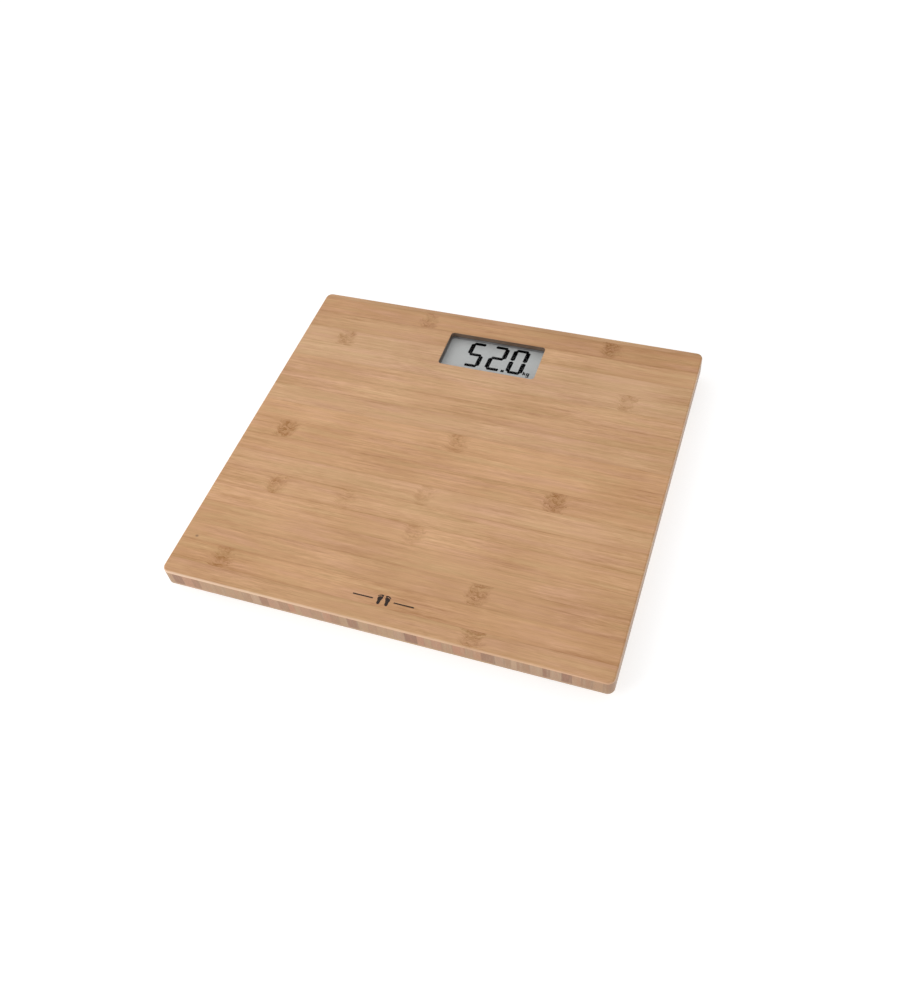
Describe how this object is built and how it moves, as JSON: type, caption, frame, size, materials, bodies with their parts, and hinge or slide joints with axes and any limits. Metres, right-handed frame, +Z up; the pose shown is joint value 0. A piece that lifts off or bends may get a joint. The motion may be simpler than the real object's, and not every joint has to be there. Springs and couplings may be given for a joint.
{
  "type": "digital bathroom scale",
  "caption": "Rectangular bamboo bathroom scale with a recessed LCD window, load-cell feet, and a battery door and unit button underneath.",
  "frame": {"origin": "on the floor under the platform's centre", "axes": "+X to the user's right, +Y from the user's heels to the display, +Z up"},
  "size_m": [0.3, 0.278, 0.021],
  "materials": {
    "bamboo_face": "satin varnish",
    "bamboo_core": "satin varnish",
    "black_foam": "matte",
    "black_plastic": "fine texture",
    "clear_lens": "polished",
    "lcd_glass": "polished",
    "silver_film": "satin",
    "zebra_rubber": "matte",
    "green_board": "solder mask",
    "black_epoxy": "gloss",
    "component_ceramic": "matte",
    "solder": "bright",
    "zinc_screw": "zinc plated",
    "switch_plastic": "matte",
    "button_plastic": "satin",
    "cell_steel": "bright",
    "nickel_strip": "bright",
    "foot_plastic": "fine texture",
    "foot_rubber": "matte",
    "load_steel": "stamped",
    "gauge_foil": "satin",
    "white_silicone": "satin",
    "red_insulation": "satin",
    "white_insulation": "satin",
    "black_insulation": "satin"
  },
  "bodies": {
    "platform": {"bamboo_top_ply": "bamboo_face", "bamboo_core_ply": "bamboo_core", "bamboo_bottom_ply": "bamboo_face", "display_gasket": "black_foam", "display_frame": "black_plastic", "display_lens": "clear_lens", "lcd_front_glass": "lcd_glass", "lcd_rear_glass": "lcd_glass", "lcd_reflector": "silver_film", "zebra_strips": "zebra_rubber", "circuit_board": "green_board", "chip_coating": "black_epoxy", "surface_parts": "component_ceramic", "solder_joints": "solder", "pcb_screws": "zinc_screw", "unit_switch": "switch_plastic", "electronics_cover": "black_plastic", "cover_screws": "zinc_screw", "coin_cell": "cell_steel", "battery_contact_negative": "nickel_strip", "battery_contact_positive": "nickel_strip", "foot_screws": "zinc_screw", "strain_gauges": "gauge_foil", "gauge_coatings": "white_silicone", "red_leads": "red_insulation", "white_leads": "white_insulation", "black_leads": "black_insulation", "channel_cover_cross": "black_plastic", "channel_cover_spine": "black_plastic", "channel_covers_back": "black_plastic", "foot_housing_front_left": "foot_plastic", "foot_ring_front_left": "foot_plastic", "load_cell_front_left": "load_steel", "foot_housing_front_right": "foot_plastic", "foot_ring_front_right": "foot_plastic", "load_cell_front_right": "load_steel", "foot_housing_back_left": "foot_plastic", "foot_ring_back_left": "foot_plastic", "load_cell_back_left": "load_steel", "foot_housing_back_right": "foot_plastic", "foot_ring_back_right": "foot_plastic", "load_cell_back_right": "load_steel"},
    "foot_front_left": {"foot_cap_front_left": "foot_plastic", "foot_pad_front_left": "foot_rubber"},
    "foot_front_right": {"foot_cap_front_right": "foot_plastic", "foot_pad_front_right": "foot_rubber"},
    "foot_back_left": {"foot_cap_back_left": "foot_plastic", "foot_pad_back_left": "foot_rubber"},
    "foot_back_right": {"foot_cap_back_right": "foot_plastic", "foot_pad_back_right": "foot_rubber"},
    "battery_door": {"battery_door": "black_plastic"},
    "unit_button": {"unit_button": "button_plastic", "unit_switch_plunger": "switch_plastic"}
  },
  "joints": [
    {"name": "foot_front_left_press", "type": "slide", "parent": "platform", "child": "foot_front_left", "axis": [0, 0, 1], "range_m": [0, 0.0004], "stiffness_N_per_m": 8000, "springref_m": -0.001, "deforming": ["load_cell_front_left"]},
    {"name": "foot_front_right_press", "type": "slide", "parent": "platform", "child": "foot_front_right", "axis": [0, 0, 1], "range_m": [0, 0.0004], "stiffness_N_per_m": 8000, "springref_m": -0.001, "deforming": ["load_cell_front_right"]},
    {"name": "foot_back_left_press", "type": "slide", "parent": "platform", "child": "foot_back_left", "axis": [0, 0, 1], "range_m": [0, 0.0004], "stiffness_N_per_m": 8000, "springref_m": -0.001, "deforming": ["load_cell_back_left"]},
    {"name": "foot_back_right_press", "type": "slide", "parent": "platform", "child": "foot_back_right", "axis": [0, 0, 1], "range_m": [0, 0.0004], "stiffness_N_per_m": 8000, "springref_m": -0.001, "deforming": ["load_cell_back_right"]},
    {"name": "battery_door_hinge", "type": "hinge", "parent": "platform", "child": "battery_door", "pos_m": [-0.024, 0.0506, 0.0064], "axis": [-1, 0, 0], "range_deg": [0, 90]},
    {"name": "unit_button_press", "type": "slide", "parent": "platform", "child": "unit_button", "axis": [0, 0, 1], "range_m": [0, 0.0004], "stiffness_N_per_m": 1500, "springref_m": -0.0008}
  ]
}
